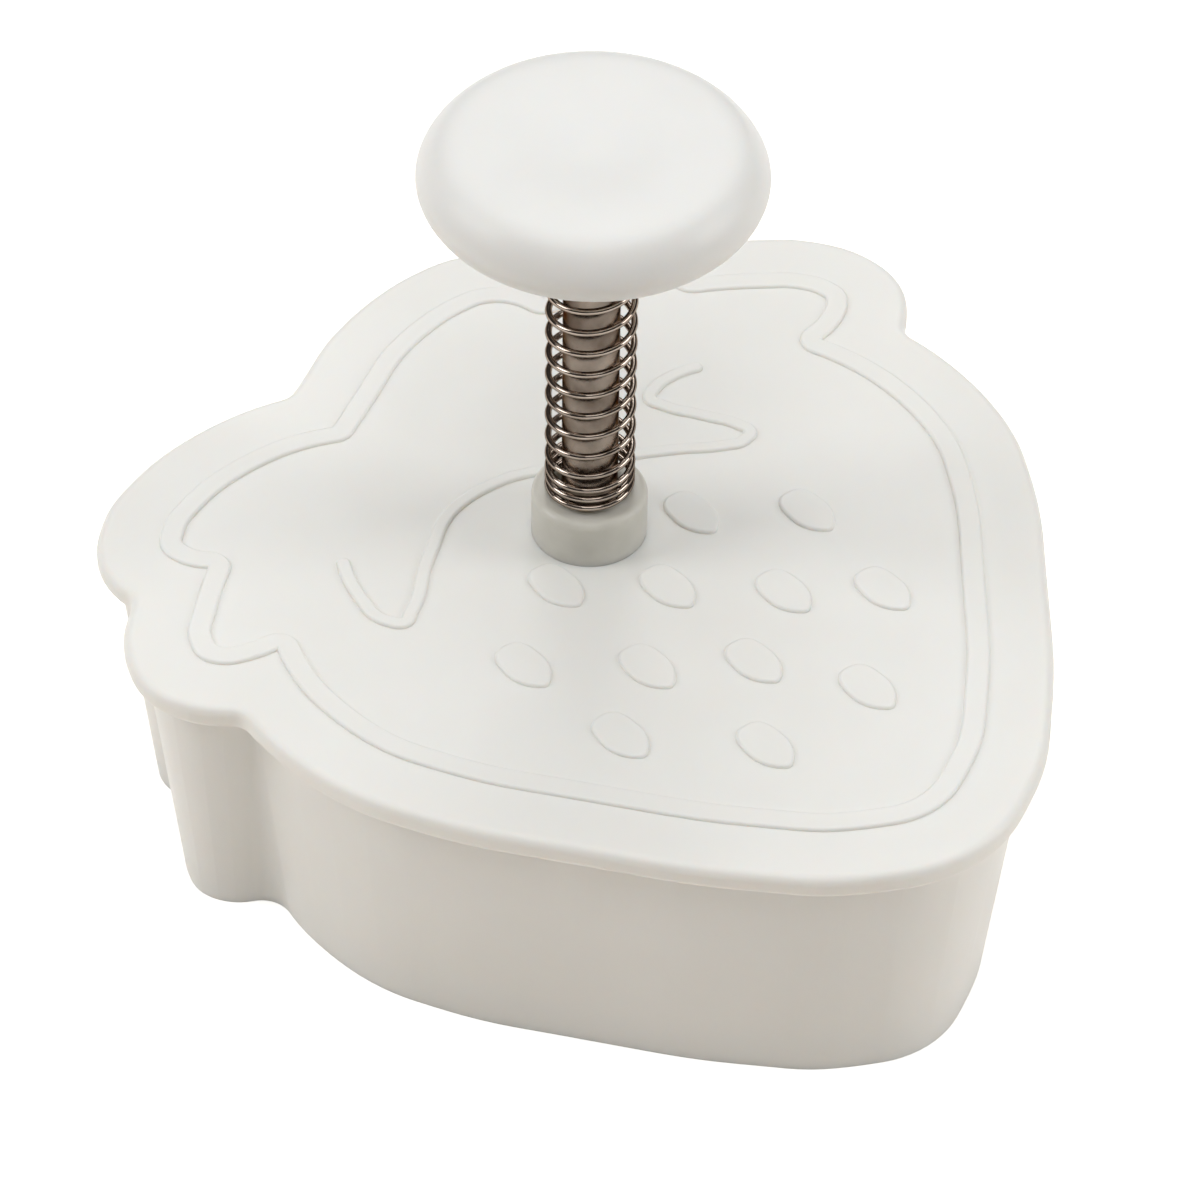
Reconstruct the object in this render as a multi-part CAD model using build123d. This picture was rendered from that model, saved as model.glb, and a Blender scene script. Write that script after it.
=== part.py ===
from build123d import *
import math
import os

# Plunger cutter in the outline of a strawberry. Millimetres, +Z up, z = 0 at the cutting edge.
# The tip of the berry points along -Y. Everything is drawn about the plunger's axis and then moved
# so that the middle of the cutter's rim lies over the origin.

# Berry pattern: its points are shares of this width and length, counted from the plunger's axis
pattern_width = 100.9
pattern_length = 98.8

# Cover plate
plate_thickness = 2.7
rim_margin = 6.5
rim_overhang = 4.7
rim_top_round = 1.0
rim_bottom_round = 0.9
rim_notch_round = 2.4
relief_height = 0.38
relief_round = 0.34
outline_line_width = 2.4
calyx_line_width = 1.5
seed_width = 4.5
seed_upper_length = 3.1
seed_lower_length = 4.2
seed_tip_round = 0.8
locating_rib_height = 1.4
locating_rib_width = 1.2
locating_rib_clearance = 0.15

# Cutter skirt. The draft is in degrees: the wall widens upwards.
skirt_height = 30.5
skirt_draft = 5.0
skirt_notch_round = 3.5
wall_thickness = 1.6
edge_thickness = 0.9
edge_height = 5.0

# Guide collar and its clip
collar_radius = 6.0
collar_height = 5.7
collar_round = 0.8
spigot_radius = 4.6
spigot_below_plate = 2.4
clip_outer_radius = 7.2
clip_thickness = 0.8
fixed_clearance = 0.05
running_clearance = 0.08

# Plunger rod
rod_radius = 2.9
rod_neck_radius = 2.45
rod_neck_length = 6.8

# Return spring
wire_radius = 0.35
spring_outer_radius = 4.65
spring_length = 35.3
spring_seat_gap = 0.05
spring_closed_pitch = 1.16
spring_closed_turns = 2
spring_open_turns = 12
spring_ease_turns = 2
spring_start_angle = 53
least_wire_gap = 0.4

# Knob and its insert
knob_radius = 17.3
knob_height = 9.8
knob_base_radius = 6.0
knob_widest_height = 6.0
knob_shoulder_share = 0.75
dish_radius = 10.8
dish_depth = 0.6
insert_radius = 3.8
insert_flat = 0.4
insert_length = 7.4
knurl_count = 18
knurl_width = 0.5

# Stamp and what holds it
stamp_thickness = 2.2
stamp_clearance = 0.7
stamp_relief_height = 1.2
hub_radius = 7.0
hub_height = 5.5
hub_ledge = 1.6
stop_washer_radius = 6.6
stop_washer_thickness = 1.0
screw_radius = 1.5
screw_length = 9.0
screw_head_radius = 2.8
screw_head_height = 1.7
screw_slot_width = 0.8
screw_slot_depth = 0.8
screw_hole_clearance = 0.1
stamp_washer_radius = 3.4
stamp_washer_thickness = 0.5
counterbore_clearance = 0.4

overrun = 1.0

# Heights that follow from the sizes above
plate_bottom = skirt_height
plate_top = plate_bottom + plate_thickness
collar_top = plate_top + collar_height
collar_bottom = plate_bottom - spigot_below_plate
hub_top = collar_bottom - stop_washer_thickness
stamp_top = hub_top - hub_height
stamp_bottom = stamp_top - stamp_thickness
counterbore_top = stamp_bottom + stamp_washer_thickness + screw_head_height + counterbore_clearance
rod_bottom = counterbore_top + hub_ledge
knob_bottom = collar_top + spring_length
wall_offset = rim_margin - rim_overhang
cavity_offset = wall_offset - wall_thickness

# The berry's outline, as shares of the pattern's width and length. The body is even about its own axis.
body_axis_share = 0.014
body_half_shares = (
    (0.386, -0.005), (0.387, -0.055), (0.372, -0.135), (0.341, -0.197),
    (0.253, -0.318), (0.157, -0.434), (0.083, -0.501),
)
body_tip_share = -0.533
leaf_shares = (
    ((-0.359, 0.050), (-0.388, 0.055), (-0.412, 0.066), (-0.426, 0.089), (-0.421, 0.116),
     (-0.386, 0.157), (-0.345, 0.193)),
    ((-0.345, 0.193), (-0.362, 0.216), (-0.366, 0.246), (-0.345, 0.274), (-0.300, 0.297),
     (-0.218, 0.311), (-0.160, 0.305), (-0.118, 0.290)),
    ((-0.118, 0.290), (-0.073, 0.316), (0.008, 0.361), (0.051, 0.374), (0.097, 0.380),
     (0.138, 0.375), (0.168, 0.352), (0.183, 0.318)),
    ((0.183, 0.318), (0.222, 0.336), (0.268, 0.330), (0.304, 0.300), (0.333, 0.245)),
    ((0.333, 0.245), (0.395, 0.206), (0.428, 0.179), (0.447, 0.146), (0.448, 0.122),
     (0.436, 0.104), (0.413, 0.088), (0.378, 0.078)),
)

# The calyx line on the berry
calyx_shares = (
    (-0.232, 0.112), (-0.247, 0.067), (-0.247, 0.016), (-0.236, 0.003), (-0.219, 0.012),
    (-0.160, 0.064), (-0.092, 0.109), (-0.038, 0.114), (0.050, 0.083), (0.144, 0.038),
    (0.186, 0.012), (0.207, 0.004), (0.224, 0.012), (0.221, 0.027), (0.202, 0.060),
    (0.178, 0.099), (0.173, 0.117), (0.188, 0.128), (0.218, 0.132), (0.243, 0.127),
)

# Seeds in rows: height, half the distance between the outer two, and whether one stands between them
seed_axis_share = 0.008
seed_row_shares = (
    (-0.047, 0.0885, False), (-0.119, 0.185, True), (-0.198, 0.0885, False),
    (-0.258, 0.170, True), (-0.358, 0.066, False),
)


def place(share):
    """A point of the pattern, from its shares."""
    return (share[0] * pattern_width, share[1] * pattern_length)


def heading_through(before, here, after):
    """The heading at a point of the circle through it and its neighbours."""
    back = here - before
    ahead = after - here
    return (back.normalized() * ahead.length + ahead.normalized() * back.length).normalized()


def end_heading(end, inner, beyond):
    """The heading at the end of a stretch, on the circle through its last three points."""
    chord = (end - inner).normalized()
    at_inner = heading_through(beyond, inner, end)
    return (chord * (2 * chord.dot(at_inner)) - at_inner).normalized()


def biarc(start, start_heading, end, end_heading):
    """Two arcs that leave the start and reach the end along the given headings."""
    chord = end - start
    both = start_heading + end_heading
    a = both.dot(both) - 4
    b = -2 * chord.dot(both)
    c = chord.dot(chord)
    reach = (-b - math.sqrt(b * b - 4 * a * c)) / (2 * a)
    joint = (start + start_heading * reach + end - end_heading * reach) / 2
    second_heading = (end - end_heading * reach - joint).normalized()
    return Edge.make_tangent_arc(start, start_heading, joint), Edge.make_tangent_arc(joint, second_heading, end)


def smooth_edges(shares):
    """Arcs that run smoothly through the points of one stretch."""
    points = [Vector(*place(share)) for share in shares]
    headings = [end_heading(points[0], points[1], points[2]) * -1]
    headings += [heading_through(*points[i - 1:i + 2]) for i in range(1, len(points) - 1)]
    headings.append(end_heading(points[-1], points[-2], points[-3]))
    edges = []
    for i in range(len(points) - 1):
        edges += biarc(points[i], headings[i], points[i + 1], headings[i + 1])
    return edges


def berry_face():
    """The berry's outline, at the outer edge of its raised line."""
    right = [(body_axis_share + x, y) for x, y in body_half_shares]
    left = [(body_axis_share - x, y) for x, y in body_half_shares]
    tip = (body_axis_share, body_tip_share)
    body = [leaf_shares[-1][-1]] + right + [tip] + left[::-1] + [leaf_shares[0][0]]
    edges = smooth_edges(body)
    for leaf in leaf_shares:
        edges += smooth_edges(leaf)
    return make_face(Wire(edges))


def grown(amount):
    """The berry's outline moved outwards, or inwards where the amount is negative."""
    return offset(berry_face(), amount=amount, kind=Kind.ARC)


def skirt_face(height, inset=0):
    """The skirt's outline at a height, moved inwards by the inset. Its notches are round."""
    widened = height * math.tan(math.radians(skirt_draft))
    return offset(
        grown(wall_offset + skirt_notch_round), amount=widened - skirt_notch_round - inset, kind=Kind.ARC
    )


def line_face(shares, width):
    """A raised line of one width along a smooth route."""
    route = Wire(smooth_edges(shares))
    return make_face(offset(route, amount=width / 2, side=Side.BOTH, kind=Kind.ARC).edges())


def seed_face():
    """A seed: round above, drawn to a small round tip below."""
    half = seed_width / 2
    middle = seed_lower_length / 2
    belly = half * math.sqrt(3) / 2
    top = Spline((half, 0), (0, seed_upper_length), (-half, 0), tangents=((0, 1), (0, -1)))
    left = ThreePointArc((-half, 0), (-belly, -middle), (0, -seed_lower_length))
    right = ThreePointArc((0, -seed_lower_length), (belly, -middle), (half, 0))
    face = make_face([top, left, right])
    tip = face.vertices().sort_by(Axis.Y)[0]
    return fillet(tip, seed_tip_round)


def seed_places():
    """The middle of each seed, row by row."""
    places = []
    for height, half_spacing, middle in seed_row_shares:
        across = [-half_spacing, half_spacing] + ([0] if middle else [])
        places += [place((seed_axis_share + x, height)) for x in across]
    return places


def relief(height):
    """The raised picture: outline line, calyx line and seeds, standing up from z = 0."""
    line = extrude(berry_face(), height) - extrude(grown(-outline_line_width), height)
    calyx = extrude(line_face(calyx_shares, calyx_line_width), height)
    seed = extrude(seed_face(), height)
    return [line, calyx] + [Pos(x, y) * seed for x, y in seed_places()]


def cylinder(radius, bottom, top):
    """A round on the plunger's axis between two heights."""
    return Pos(0, 0, bottom) * Cylinder(radius, top - bottom, align=(Align.CENTER, Align.CENTER, Align.MIN))


def ring(inner, outer, bottom, top):
    return cylinder(outer, bottom, top) - cylinder(inner, bottom - overrun, top + overrun)


def make_cover_plate():
    rim = offset(grown(rim_margin + rim_notch_round), amount=-rim_notch_round, kind=Kind.ARC)
    plate = extrude(Pos(0, 0, plate_bottom) * rim, plate_thickness)
    upper = plate.edges().filter_by_position(Axis.Z, plate_top, plate_top)
    plate = fillet(upper, rim_top_round)
    lower = plate.edges().filter_by_position(Axis.Z, plate_bottom, plate_bottom)
    plate = fillet(lower, rim_bottom_round)
    for piece in relief(relief_height):
        plate += Pos(0, 0, plate_top) * fillet(piece.faces().sort_by(Axis.Z)[-1].edges(), relief_round)
    rib_bottom = plate_bottom - locating_rib_height
    rib_inset = wall_thickness + locating_rib_clearance
    rib = extrude(skirt_face(rib_bottom, rib_inset), locating_rib_height)
    rib -= extrude(skirt_face(rib_bottom, rib_inset + locating_rib_width), locating_rib_height)
    plate += Pos(0, 0, rib_bottom) * rib
    return plate - cylinder(spigot_radius + fixed_clearance, plate_bottom - overrun, plate_top + overrun)


def make_cutter_skirt():
    outside = extrude(skirt_face(0), skirt_height, taper=-skirt_draft)
    edge_inside = extrude(skirt_face(0, edge_thickness), edge_height, taper=-skirt_draft)
    wall_inside = Pos(0, 0, edge_height) * skirt_face(edge_height, wall_thickness)
    return outside - edge_inside - extrude(wall_inside, skirt_height, taper=-skirt_draft)


def make_guide_collar():
    collar = cylinder(collar_radius, plate_top, collar_top)
    collar = fillet(collar.edges().sort_by(Axis.Z)[-1], collar_round)
    collar += cylinder(spigot_radius, collar_bottom, plate_top)
    return collar - cylinder(rod_radius + running_clearance, collar_bottom - overrun, collar_top + overrun)


def make_collar_clip():
    return ring(spigot_radius + fixed_clearance, clip_outer_radius, plate_bottom - clip_thickness, plate_bottom)


def make_stop_washer():
    return ring(rod_radius + running_clearance, stop_washer_radius, hub_top, collar_bottom)


def make_plunger_rod():
    rod = cylinder(rod_radius, rod_bottom, knob_bottom)
    rod += cylinder(rod_neck_radius, knob_bottom, knob_bottom + rod_neck_length)
    tapped = cylinder(screw_radius + fixed_clearance, rod_bottom - overrun, rod_bottom + screw_length)
    return rod - tapped


def make_knob_insert():
    insert = ring(rod_neck_radius + fixed_clearance, insert_radius, knob_bottom, knob_bottom + insert_length)
    for turn in range(knurl_count):
        groove = Pos(insert_radius, 0, knob_bottom + insert_length / 2)
        groove = Rot(0, 0, 360 * turn / knurl_count) * groove * Box(insert_flat, knurl_width, insert_length / 2)
        insert -= groove
    return insert


def make_knob():
    """The knob is turned from its side: base, round side, rounded top and the dish for the thumb."""
    diagonal = math.sqrt(2) / 2
    below = knob_radius - knob_base_radius
    shoulder_out = (knob_radius - dish_radius) * knob_shoulder_share
    shoulder_up = (knob_height - knob_widest_height) * knob_shoulder_share
    base = Line((0, 0), (knob_base_radius, 0))
    side = Spline(
        (knob_base_radius, 0),
        (knob_base_radius + below * diagonal, knob_widest_height * (1 - diagonal)),
        (knob_radius, knob_widest_height),
        (dish_radius + shoulder_out, knob_widest_height + shoulder_up),
        (dish_radius, knob_height),
        tangents=((1, 0), (-1, 0)),
    )
    dish = Spline((dish_radius, knob_height), (0, knob_height - dish_depth), tangents=((-1, 0), (-1, 0)))
    axis = Line((0, knob_height - dish_depth), (0, 0))
    profile = Plane.XZ * make_face([base, side, dish, axis])
    knob = Pos(0, 0, knob_bottom) * revolve(profile, Axis.Z)
    socket = insert_radius + fixed_clearance
    return knob - cylinder(socket, knob_bottom - overrun, knob_bottom + insert_length)


def make_stamp_plate():
    stamp = extrude(Pos(0, 0, stamp_bottom) * grown(cavity_offset - stamp_clearance), stamp_thickness)
    for piece in relief(-stamp_relief_height):
        stamp += Pos(0, 0, stamp_bottom) * piece
    stamp += cylinder(hub_radius, stamp_top, hub_top)
    stamp -= cylinder(rod_radius + fixed_clearance, rod_bottom, hub_top + overrun)
    stamp -= cylinder(screw_radius + screw_hole_clearance, stamp_bottom - overrun, rod_bottom + overrun)
    washer_room = stamp_washer_radius + screw_hole_clearance
    return stamp - cylinder(washer_room, stamp_bottom - stamp_relief_height - overrun, counterbore_top)


def make_stamp_washer():
    return ring(
        screw_radius + screw_hole_clearance,
        stamp_washer_radius,
        counterbore_top - stamp_washer_thickness,
        counterbore_top,
    )


def make_stamp_screw():
    under_head = counterbore_top - stamp_washer_thickness
    head_bottom = under_head - screw_head_height
    screw = cylinder(screw_head_radius, head_bottom, under_head)
    screw += cylinder(screw_radius, under_head, under_head + screw_length)
    slot = Box(2 * screw_head_radius, screw_slot_width, screw_slot_depth)
    return screw - Pos(0, 0, head_bottom + screw_slot_depth / 2) * slot


def eased_share(share, ease):
    """A share that sets off and ends gently, each over the ease, and climbs evenly between."""
    if share > 1 / 2:
        return 1 - eased_share(1 - share, ease)
    if share < ease:
        return share * share / (2 * ease * (1 - ease))
    return (share - ease / 2) / (1 - ease)


def spring_height(turn):
    """Height of the wire's middle: closed turns at both ends, open ones between."""
    wire_bottom = collar_top + spring_seat_gap + wire_radius
    wire_top = knob_bottom - spring_seat_gap - wire_radius
    closed = spring_closed_pitch * spring_closed_turns
    into_open = min(max(turn - spring_closed_turns, 0), spring_open_turns)
    open_rise = wire_top - wire_bottom - 2 * closed
    extra = open_rise - spring_closed_pitch * spring_open_turns
    eased = eased_share(into_open / spring_open_turns, spring_ease_turns / spring_open_turns)
    return wire_bottom + spring_closed_pitch * turn + extra * eased


def spring_point(turn):
    radius = spring_outer_radius - wire_radius
    angle = math.radians(spring_start_angle) + 2 * math.pi * turn
    return Vector(radius * math.cos(angle), radius * math.sin(angle), spring_height(turn))


def spring_heading(turn):
    step = 1 / 1000
    return (spring_point(turn + step) - spring_point(turn - step)).normalized()


def make_return_spring():
    turns = 2 * spring_closed_turns + spring_open_turns
    quarters = 4 * turns
    edges = []
    for quarter in range(quarters):
        start, end = quarter / 4, (quarter + 1) / 4
        edges += biarc(spring_point(start), spring_heading(start), spring_point(end), spring_heading(end))
    route = Wire(edges)
    section = Plane(origin=route @ 0, z_dir=route % 0) * Circle(wire_radius)
    print_least_gap(turns)
    return sweep(section, path=route)


def print_least_gap(turns):
    """The least gap between one turn of the wire and the next, measured on points of the route."""
    steps = 48
    points = [spring_point(i / steps) for i in range(turns * steps + 1)]
    least = min(
        (points[i] - points[j]).length
        for i in range(len(points))
        for j in range(i + steps // 2, min(i + 2 * steps, len(points)))
    )
    print("spring: least gap to itself", round(least - 2 * wire_radius, 3), "mm, wanted over", least_wire_gap)


pieces = {
    "cover_plate": make_cover_plate,
    "cutter_skirt": make_cutter_skirt,
    "guide_collar": make_guide_collar,
    "collar_clip": make_collar_clip,
    "stop_washer": make_stop_washer,
    "plunger_rod": make_plunger_rod,
    "return_spring": make_return_spring,
    "knob": make_knob,
    "knob_insert": make_knob_insert,
    "stamp_plate": make_stamp_plate,
    "stamp_washer": make_stamp_washer,
    "stamp_screw": make_stamp_screw,
}

os.makedirs("parts", exist_ok=True)
rim_box = grown(rim_margin).bounding_box()
centring = Pos(-rim_box.center().X, -rim_box.center().Y, 0)
print("plunger axis at", centring.position)
for name, make in pieces.items():
    export_step(centring * make(), f"parts/{name}.step")
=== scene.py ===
import math

import bmesh
import bpy
from mathutils import Matrix, Vector


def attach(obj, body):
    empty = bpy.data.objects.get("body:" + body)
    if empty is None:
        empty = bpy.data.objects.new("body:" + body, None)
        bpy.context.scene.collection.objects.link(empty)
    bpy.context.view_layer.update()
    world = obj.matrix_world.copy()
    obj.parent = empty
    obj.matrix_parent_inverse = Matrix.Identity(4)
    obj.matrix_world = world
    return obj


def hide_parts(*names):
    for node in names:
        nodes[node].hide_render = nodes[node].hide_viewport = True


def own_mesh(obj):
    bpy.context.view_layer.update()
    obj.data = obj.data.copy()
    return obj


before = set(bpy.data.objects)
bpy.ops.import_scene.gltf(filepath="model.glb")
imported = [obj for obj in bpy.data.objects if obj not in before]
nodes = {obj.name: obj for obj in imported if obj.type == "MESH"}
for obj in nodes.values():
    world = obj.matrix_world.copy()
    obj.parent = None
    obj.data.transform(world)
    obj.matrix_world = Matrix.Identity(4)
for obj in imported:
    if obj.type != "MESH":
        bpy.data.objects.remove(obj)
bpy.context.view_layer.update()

# Sizes in metres, in the frame of the solids
millimetre = 1 / 1000
axis_x = -1.147 * millimetre
axis_y = 7.558 * millimetre
plate_top = 33.2 * millimetre
collar_top = 38.9 * millimetre
knob_bottom = 74.2 * millimetre

# The camera and the lamps are turned about the plunger's axis on top of the plate
target = Vector((axis_x, axis_y, plate_top))

# Camera, from the fit of the photograph's view; the target lies off the picture's middle by two
# shares of the distance
focal_length = 150
sensor_width = 36
camera_turn = math.radians(-38.995)
camera_elevation = math.radians(43.893)
camera_roll = math.radians(0.8)
camera_distance = 518.04 * millimetre
aim_right_share = -0.00217
aim_up_share = 0.01459

# Return spring
wire_radius = 0.35 * millimetre
coil_radius = 4.3 * millimetre
seat_gap = 0.05 * millimetre
closed_pitch = 1.16 * millimetre
closed_turns = 2
open_turns = 12
all_turns = open_turns + 2 * closed_turns
ease_turns = 2
start_angle = math.radians(53)
steps_per_turn = 56
section_sides = 14
end_chamfer = 0.08 * millimetre

# Most of a noise texture's values lie between these
noise_low = 0.3
noise_high = 0.7

# Tint of bare steel at a grazing angle, which darkens its edges
steel_edge_tint = (0.20, 0.16, 0.14, 1)

# Floor: it reaches this far each way, and its glow grows between two distances from the object
floor_reach = 12.0
floor_colour = (0.96, 0.89, 0.82, 1)
glow_colour = (0.90, 0.97, 1.0, 1)
glow_near_distance = 0.15
glow_far_distance = 0.60
glow_near_level = 0.55
glow_far_level = 1.0

# Room: the colours at the horizon and near the top of the sky
horizon_colour = (0.028, 0.020, 0.016, 1)
sky_colour = (0.105, 0.103, 0.10, 1)
sky_height = 0.9

# Softboxes stand this far from the target
lamp_distance = 0.9


def make_camera():
    right = Vector((1, 0, 0))
    ahead = Vector((0, math.cos(camera_elevation), -math.sin(camera_elevation)))
    up = Vector((0, math.sin(camera_elevation), math.cos(camera_elevation)))
    rolled_right = right * math.cos(camera_roll) + up * math.sin(camera_roll)
    rolled_up = up * math.cos(camera_roll) - right * math.sin(camera_roll)
    off_centre = rolled_right * aim_right_share + rolled_up * aim_up_share
    place = (off_centre + ahead) * -camera_distance
    turn = Matrix.Rotation(camera_turn, 3, "Z")
    axes = Matrix((turn @ rolled_right, turn @ rolled_up, turn @ -ahead)).transposed()
    data = bpy.data.cameras.new("camera")
    data.lens = focal_length
    data.sensor_width = sensor_width
    camera = bpy.data.objects.new("camera", data)
    bpy.context.scene.collection.objects.link(camera)
    camera.matrix_world = Matrix.Translation(turn @ place + target) @ axes.to_4x4()
    bpy.context.scene.camera = camera


def add_node(tree, kind, *sources, operation=None):
    """A new node, whose first sockets take these outputs in their order."""
    node = tree.nodes.new(kind)
    if operation is not None:
        node.operation = operation
    for socket, source in zip(node.inputs, sources):
        tree.links.new(source, socket)
    return node


def map_range(tree, value, low, high, from_low, from_high):
    """The value, moved from one range to another and held at its ends."""
    node = add_node(tree, "ShaderNodeMapRange", value)
    node.inputs["From Min"].default_value = from_low
    node.inputs["From Max"].default_value = from_high
    node.inputs["To Min"].default_value = low
    node.inputs["To Max"].default_value = high
    return node.outputs["Result"]


class Shader:
    """A node material round one Principled shader, with its textures in the object's own coordinates."""

    def __init__(self, name, **sockets):
        self.material = bpy.data.materials.new(name)
        self.material.use_nodes = True
        self.tree = self.material.node_tree
        self.surface = self.tree.nodes["Principled BSDF"]
        for socket, value in sockets.items():
            self.surface.inputs[socket.replace("_", " ")].default_value = value
        self.place = add_node(self.tree, "ShaderNodeTexCoord").outputs["Object"]
        self.normal = None

    def stretched(self, stretch):
        mapping = add_node(self.tree, "ShaderNodeMapping", self.place)
        mapping.inputs["Scale"].default_value = stretch
        return mapping.outputs["Vector"]

    def noise(self, size, detail=2, stretch=None):
        """Noise with features of about this size, which a stretch below 1 makes longer along its axis."""
        source = self.stretched(stretch) if stretch else self.place
        node = add_node(self.tree, "ShaderNodeTexNoise", source)
        node.inputs["Scale"].default_value = 1 / size
        node.inputs["Detail"].default_value = detail
        return node.outputs["Fac"]

    def between(self, noise, low, high):
        """The noise, spread over this range."""
        return map_range(self.tree, noise, low, high, noise_low, noise_high)

    def colour(self, noise, first, second):
        node = add_node(self.tree, "ShaderNodeMix")
        node.data_type = "RGBA"
        node.inputs["A"].default_value = (*first, 1)
        node.inputs["B"].default_value = (*second, 1)
        self.tree.links.new(self.between(noise, 0, 1), node.inputs["Factor"])
        self.tree.links.new(node.outputs["Result"], self.surface.inputs["Base Color"])

    def roughness(self, noise, low, high):
        self.tree.links.new(self.between(noise, low, high), self.surface.inputs["Roughness"])

    def bump(self, noise, depth, strength):
        """Relief of this depth, on top of the bumps that were added before it."""
        node = add_node(self.tree, "ShaderNodeBump")
        node.inputs["Distance"].default_value = depth
        node.inputs["Strength"].default_value = strength
        self.tree.links.new(noise, node.inputs["Height"])
        if self.normal is not None:
            self.tree.links.new(self.normal, node.inputs["Normal"])
        self.normal = node.outputs["Normal"]
        self.tree.links.new(self.normal, self.surface.inputs["Normal"])


def moulded_plastic(name, first, second, low_roughness, high_roughness):
    """Off-white moulded plastic: a fine spark-eroded grain, a faint ripple and a slow drift of colour."""
    plastic = Shader(
        name,
        Subsurface_Weight=0.5,
        Subsurface_Radius=(1.0, 0.8, 0.65),
        Subsurface_Scale=1.8 * millimetre,
        IOR=1.49,
        Specular_IOR_Level=0.45,
    )
    drift = plastic.noise(size=28 * millimetre, detail=3)
    sheen = plastic.noise(size=6 * millimetre, detail=4)
    ripple = plastic.noise(size=2.6 * millimetre, detail=1)
    grain = plastic.noise(size=0.28 * millimetre, detail=2)
    plastic.colour(drift, first, second)
    plastic.roughness(sheen, low_roughness, high_roughness)
    plastic.bump(ripple, depth=0.02 * millimetre, strength=0.35)
    plastic.bump(grain, depth=0.012 * millimetre, strength=0.4)
    return plastic.material


def plate_plastic():
    return moulded_plastic(
        "plate_plastic",
        first=(0.815, 0.81, 0.775),
        second=(0.84, 0.838, 0.808),
        low_roughness=0.40,
        high_roughness=0.52,
    )


def knob_plastic():
    """The knob's plastic is a little smoother and darker than the plate's."""
    return moulded_plastic(
        "knob_plastic",
        first=(0.785, 0.785, 0.762),
        second=(0.81, 0.81, 0.79),
        low_roughness=0.36,
        high_roughness=0.46,
    )


def nylon():
    """Unfilled nylon: greyish, a little see-through, with a cloudy body and turning marks round it."""
    bush = Shader(
        "nylon",
        Subsurface_Weight=0.55,
        Subsurface_Radius=(1.0, 1.0, 0.85),
        Subsurface_Scale=2.2 * millimetre,
        IOR=1.53,
    )
    cloud = bush.noise(size=3 * millimetre, detail=3)
    sheen = bush.noise(size=1.5 * millimetre)
    marks = bush.noise(size=0.5 * millimetre, stretch=(0.15, 0.15, 1))
    bush.colour(cloud, first=(0.62, 0.605, 0.545), second=(0.68, 0.665, 0.605))
    bush.roughness(sheen, low=0.30, high=0.42)
    bush.bump(marks, depth=0.01 * millimetre, strength=0.5)
    return bush.material


def ground_steel():
    """The rod: ground steel, brownish and darker in random blotches, with a fine grain round it; the depth
    of the dark blotches is painted shade that stands in for dark reflections and coil shadows on the rod.
    """
    steel = Shader("ground_steel", Metallic=1.0, Specular_Tint=steel_edge_tint)
    brown_tone_and_painted_shade = steel.noise(size=5 * millimetre, detail=4)
    sheen = steel.noise(size=0.4 * millimetre, detail=4)
    grain = steel.noise(size=0.16 * millimetre, detail=3, stretch=(0.35, 0.35, 1))
    # Random brownish tone, its dark end deepened into painted shade for dark reflections and coil shadows on
    # the rod
    steel.colour(brown_tone_and_painted_shade, first=(0.15, 0.115, 0.092), second=(0.44, 0.37, 0.315))
    steel.roughness(sheen, low=0.12, high=0.26)
    steel.bump(grain, depth=0.004 * millimetre, strength=0.45)
    return steel.material


def drawn_wire():
    """The spring: drawn wire, bright, with fine lines and slight dulling."""
    wire = Shader("drawn_wire", Metallic=1.0, Specular_Tint=steel_edge_tint)
    dulling = wire.noise(size=2.4 * millimetre, detail=3)
    sheen = wire.noise(size=0.8 * millimetre, detail=3)
    lines = wire.noise(size=0.12 * millimetre, detail=2, stretch=(0.2, 0.2, 1))
    wire.colour(dulling, first=(0.30, 0.245, 0.205), second=(0.46, 0.39, 0.335))
    wire.roughness(sheen, low=0.06, high=0.13)
    wire.bump(lines, depth=0.004 * millimetre, strength=0.4)
    return wire.material


def plated_steel():
    """The hidden clip, washer and screw."""
    plated = Shader("plated_steel", Metallic=1.0)
    drift = plated.noise(size=3 * millimetre)
    sheen = plated.noise(size=0.7 * millimetre, detail=4)
    grain = plated.noise(size=0.2 * millimetre)
    plated.colour(drift, first=(0.56, 0.56, 0.55), second=(0.64, 0.64, 0.63))
    plated.roughness(sheen, low=0.28, high=0.42)
    plated.bump(grain, depth=0.006 * millimetre, strength=0.5)
    return plated.material


def turned_brass():
    """The hidden insert, with turning marks round it."""
    brass = Shader("turned_brass", Metallic=1.0)
    drift = brass.noise(size=3 * millimetre)
    sheen = brass.noise(size=0.6 * millimetre, detail=3)
    marks = brass.noise(size=0.3 * millimetre, stretch=(0.2, 0.2, 1))
    brass.colour(drift, first=(0.70, 0.52, 0.24), second=(0.78, 0.60, 0.31))
    brass.roughness(sheen, low=0.24, high=0.38)
    brass.bump(marks, depth=0.008 * millimetre, strength=0.5)
    return brass.material


def soft_rubber():
    """The hidden stop washer: dull black rubber with a pebbled face."""
    rubber = Shader("soft_rubber", Specular_IOR_Level=0.3)
    bloom = rubber.noise(size=2 * millimetre, detail=3)
    sheen = rubber.noise(size=1.2 * millimetre)
    pebbles = rubber.noise(size=0.4 * millimetre, detail=3)
    rubber.colour(bloom, first=(0.045, 0.045, 0.045), second=(0.075, 0.073, 0.07))
    rubber.roughness(sheen, low=0.62, high=0.8)
    rubber.bump(pebbles, depth=0.02 * millimetre, strength=0.6)
    return rubber.material


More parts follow.
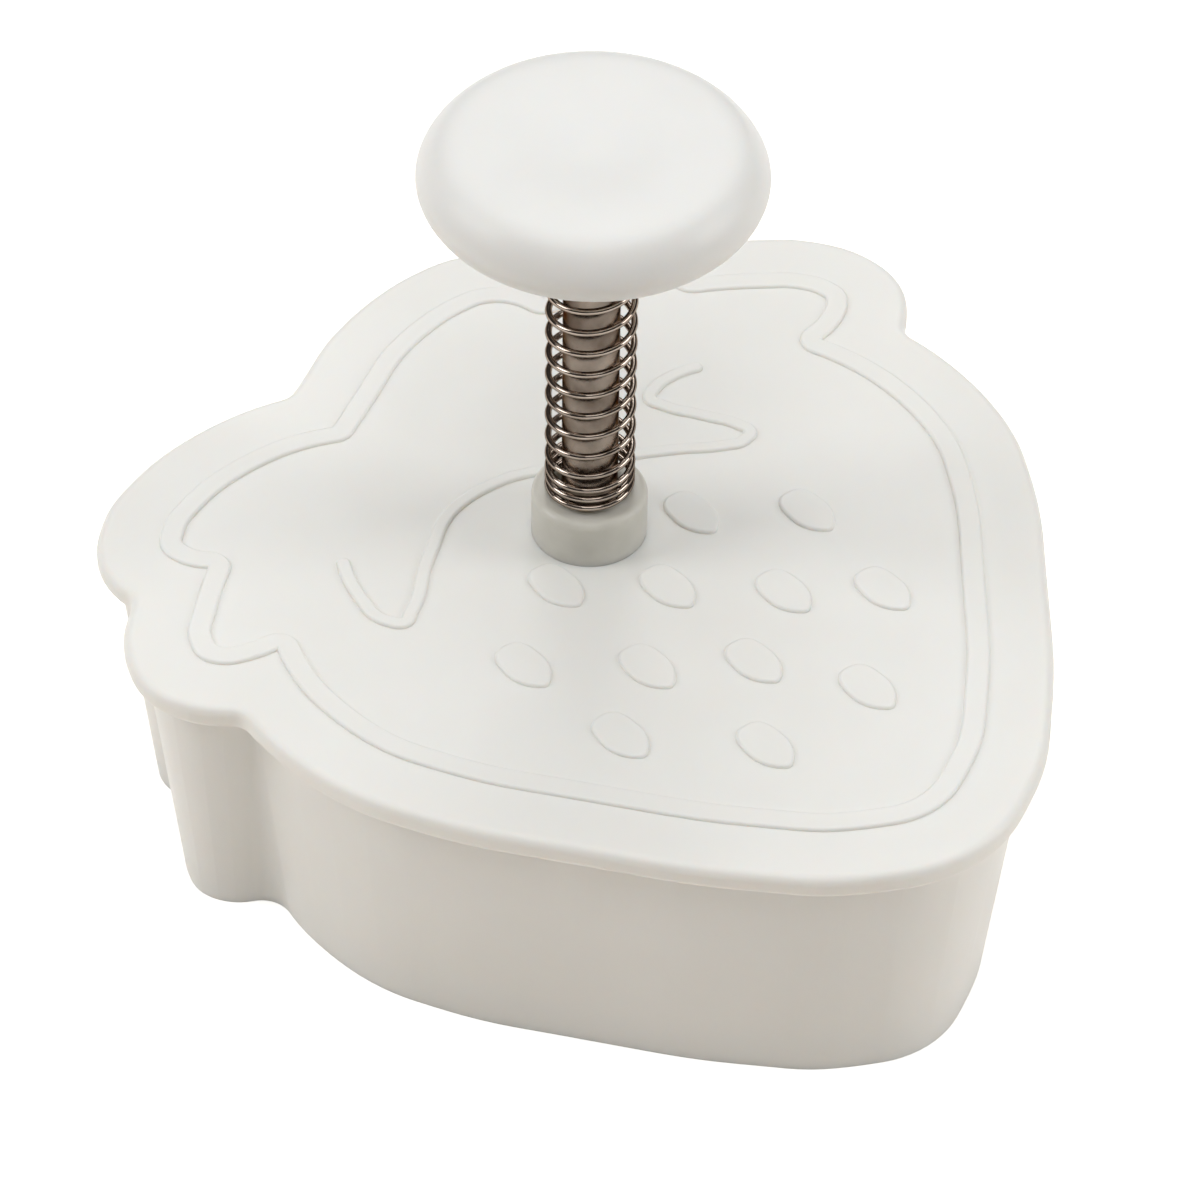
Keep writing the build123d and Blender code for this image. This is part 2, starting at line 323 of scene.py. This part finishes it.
def paint_nodes():
    """One material for each of the solids that stays; the spring's solid is replaced by its own mesh."""
    plate = plate_plastic()
    plated = plated_steel()
    looks = {
        "cover_plate": plate,
        "cutter_skirt": plate,
        "stamp_plate": plate,
        "knob": knob_plastic(),
        "guide_collar": nylon(),
        "plunger_rod": ground_steel(),
        "collar_clip": plated,
        "stamp_washer": plated,
        "stamp_screw": plated,
        "knob_insert": turned_brass(),
        "stop_washer": soft_rubber(),
    }
    for name, material in looks.items():
        mesh = nodes[name].data
        mesh.materials.clear()
        mesh.materials.append(material)


def eased_share(share, ease):
    """A share that sets off and ends gently, each over the ease, and climbs evenly between."""
    if share > 1 / 2:
        return 1 - eased_share(1 - share, ease)
    if share < ease:
        return share * share / (2 * ease * (1 - ease))
    return (share - ease / 2) / (1 - ease)


def wire_place(turn):
    """The middle of the wire after some turns: closed turns at both ends, open ones between."""
    lowest = collar_top + seat_gap + wire_radius
    highest = knob_bottom - seat_gap - wire_radius
    open_rise = highest - lowest - closed_pitch * all_turns
    share = min(max(turn - closed_turns, 0), open_turns) / open_turns
    height = lowest + closed_pitch * turn + open_rise * eased_share(share, ease_turns / open_turns)
    angle = start_angle + 2 * math.pi * turn
    return Vector((axis_x + coil_radius * math.cos(angle), axis_y + coil_radius * math.sin(angle), height))


def wire_stations():
    """Each ring's turn and radius along the wire, with a light chamfer at both ends."""
    chamfer_turns = end_chamfer / (2 * math.pi * coil_radius)
    first = [(0, wire_radius - end_chamfer), (chamfer_turns, wire_radius)]
    middle = [(i / steps_per_turn, wire_radius) for i in range(1, all_turns * steps_per_turn)]
    last = [(all_turns - chamfer_turns, wire_radius), (all_turns, wire_radius - end_chamfer)]
    return first + middle + last


def add_ring(shape, turn, radius):
    """One round section of the wire, square to its run."""
    middle = wire_place(turn)
    step = 1 / steps_per_turn
    along = (wire_place(turn + step) - wire_place(turn - step)).normalized()
    outwards = Vector((middle.x - axis_x, middle.y - axis_y, 0)).normalized()
    across = along.cross(outwards).normalized()
    corners = []
    for side in range(section_sides):
        angle = 2 * math.pi * side / section_sides
        spoke = outwards * math.cos(angle) + across * math.sin(angle)
        corners.append(shape.verts.new(middle + spoke * radius))
    return corners


def spring_mesh():
    """The spring as one round wire."""
    shape = bmesh.new()
    rings = [add_ring(shape, turn, radius) for turn, radius in wire_stations()]
    for before, after in zip(rings, rings[1:]):
        for side in range(section_sides):
            following = (side + 1) % section_sides
            shape.faces.new((before[side], before[following], after[following], after[side]))
    shape.faces.new(rings[0][::-1])
    shape.faces.new(rings[-1])
    bmesh.ops.recalc_face_normals(shape, faces=shape.faces)
    mesh = bpy.data.meshes.new("spring_wire")
    shape.to_mesh(mesh)
    shape.free()
    # The wall is smooth, and the two ends, which were added last, are flat
    end_faces = 2
    wall_faces = len(mesh.polygons) - end_faces
    mesh.polygons.foreach_set("use_smooth", [True] * wall_faces + [False] * end_faces)
    mesh.materials.append(drawn_wire())
    return mesh


def make_spring():
    """The spring rides on the plunger."""
    spring = bpy.data.objects.new("spring_wire", spring_mesh())
    bpy.context.scene.collection.objects.link(spring)
    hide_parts("return_spring")
    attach(spring, "plunger")
    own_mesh(spring)


def floor_material():
    """Pale and matte, with a glow that is seen straight, in reflections and through clear things only."""
    material = bpy.data.materials.new("floor")
    material.use_nodes = True
    tree = material.node_tree
    tree.nodes.clear()
    rays = add_node(tree, "ShaderNodeLightPath")
    seen = rays.outputs["Is Camera Ray"]
    for kind in ("Is Glossy Ray", "Is Transmission Ray"):
        seen = add_node(tree, "ShaderNodeMath", seen, rays.outputs[kind], operation="MAXIMUM").outputs[0]
    place = add_node(tree, "ShaderNodeTexCoord").outputs["Object"]
    distance = add_node(tree, "ShaderNodeVectorMath", place, operation="LENGTH").outputs["Value"]
    rise = map_range(
        tree,
        distance,
        low=glow_near_level,
        high=glow_far_level,
        from_low=glow_near_distance,
        from_high=glow_far_distance,
    )
    level = add_node(tree, "ShaderNodeMath", seen, rise, operation="MULTIPLY").outputs[0]
    glow = add_node(tree, "ShaderNodeEmission")
    glow.inputs["Color"].default_value = glow_colour
    tree.links.new(level, glow.inputs["Strength"])
    matte = add_node(tree, "ShaderNodeBsdfDiffuse")
    matte.inputs["Color"].default_value = floor_colour
    both = add_node(tree, "ShaderNodeAddShader", glow.outputs[0], matte.outputs[0])
    add_node(tree, "ShaderNodeOutputMaterial", both.outputs[0])
    return material


def make_floor():
    """A plain floor that looks white round the object and throws light up at it."""
    mesh = bpy.data.meshes.new("floor")
    signs = [(-1, -1), (1, -1), (1, 1), (-1, 1)]
    corners = [(x * floor_reach, y * floor_reach, 0) for x, y in signs]
    mesh.from_pydata(corners, [], [(0, 1, 2, 3)])
    mesh.materials.append(floor_material())
    floor = bpy.data.objects.new("floor", mesh)
    bpy.context.scene.collection.objects.link(floor)


def make_world():
    """A dim room: grey overhead, darker and warmer towards the horizon."""
    world = bpy.data.worlds.new("room")
    bpy.context.scene.world = world
    world.use_nodes = True
    tree = world.node_tree
    tree.nodes.clear()
    direction = add_node(tree, "ShaderNodeTexCoord").outputs["Generated"]
    height = add_node(tree, "ShaderNodeSeparateXYZ", direction).outputs["Z"]
    sky = add_node(tree, "ShaderNodeValToRGB", height)
    horizon, top = sky.color_ramp.elements
    horizon.position = 0
    horizon.color = horizon_colour
    top.position = sky_height
    top.color = sky_colour
    background = add_node(tree, "ShaderNodeBackground", sky.outputs["Color"])
    add_node(tree, "ShaderNodeOutputWorld", background.outputs[0])


def make_softbox(name, azimuth, elevation, size, level, distance=lamp_distance):
    """A square softbox aimed at the target.

    Its azimuth is in degrees from the side away from the camera, counted round by the camera's left. Its
    level is about the brightness that it alone gives a white surface turned to it.
    """
    turn = camera_turn + math.radians(azimuth)
    climb = math.radians(elevation)
    away = Vector((-math.sin(turn) * math.cos(climb), math.cos(turn) * math.cos(climb), math.sin(climb)))
    data = bpy.data.lights.new(name, "AREA")
    data.shape = "SQUARE"
    data.size = size
    data.energy = level * math.pi ** 2 * distance ** 2
    lamp = bpy.data.objects.new(name, data)
    bpy.context.scene.collection.objects.link(lamp)
    lamp.location = target + away * distance
    lamp.rotation_mode = "QUATERNION"
    lamp.rotation_quaternion = away.to_track_quat("Z", "Y")


make_camera()
paint_nodes()
make_spring()
make_floor()
make_world()
make_softbox("overhead", azimuth=10, elevation=78, size=1.0, level=0.515)
make_softbox("back", azimuth=0, elevation=45, size=0.25, level=0.09)
make_softbox("front_high", azimuth=180, elevation=66, size=0.5, level=0.187)
make_softbox("front_low", azimuth=180, elevation=12, size=0.5, level=0.022, distance=1.0)
make_softbox("left", azimuth=95, elevation=35, size=0.4, level=0.35)
make_softbox("right", azimuth=-95, elevation=30, size=0.4, level=0.33)
bpy.context.scene.view_settings.view_transform = "Standard"
